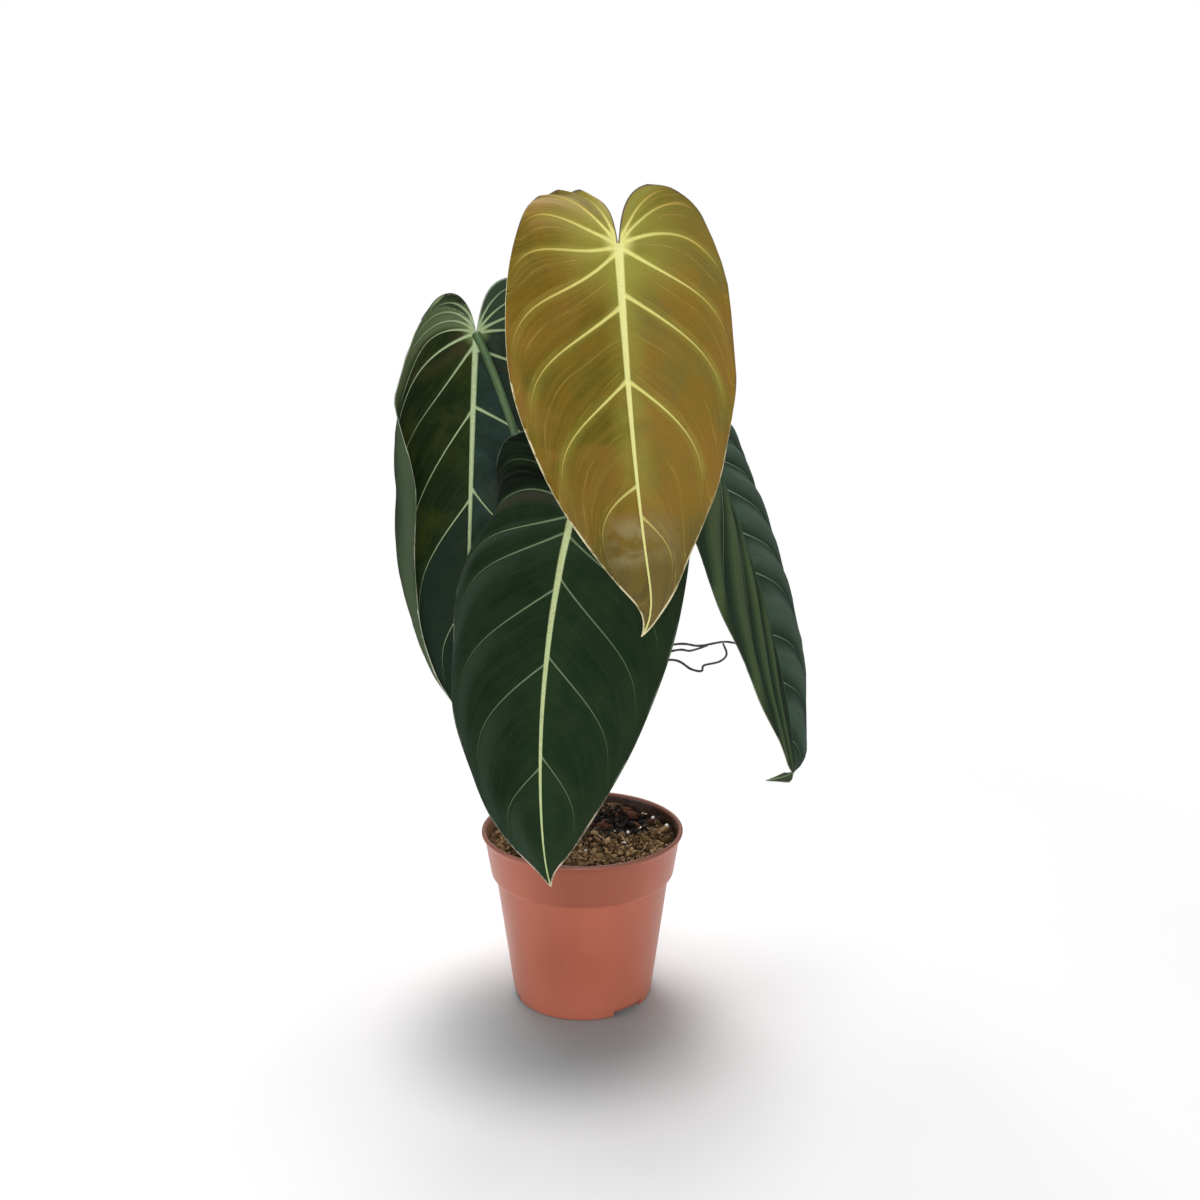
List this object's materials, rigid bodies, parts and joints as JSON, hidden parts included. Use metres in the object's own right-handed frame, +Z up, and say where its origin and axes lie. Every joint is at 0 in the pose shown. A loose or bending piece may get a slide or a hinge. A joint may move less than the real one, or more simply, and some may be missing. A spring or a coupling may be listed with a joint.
{
  "type": "potted black gold philodendron",
  "caption": "Potted foliage plant with large hanging heart-shaped velvety leaves, bronze-gold and dark green, in a round tapered plastic nursery pot of soil.",
  "frame": {"origin": "centre of the pad under the pot, on the plane the pot stands on", "axes": "+Z up along the pot's axis, the viewer at -Y, +X to the viewer's right"},
  "size_m": [0.248, 0.1992, 0.4779],
  "materials": {
    "pot_plastic": "satin terracotta-coloured plastic",
    "soil": "crumbly potting mix",
    "stem": "matt green-brown",
    "root": "matt dark grey-brown",
    "stalk": "satin green",
    "young_leaf": "velvety bronze-gold",
    "leaf": "velvety dark green"
  },
  "bodies": {
    "root": {"pot": "pot_plastic", "soil": "soil", "stem": "stem", "aerial_roots": "root", "petiole_gold": "stalk", "petiole_back": "stalk", "petiole_side": "stalk", "petiole_front": "stalk", "blade_gold": "young_leaf", "blade_back": "leaf", "blade_side": "leaf", "blade_front": "leaf"}
  },
  "joints": []
}
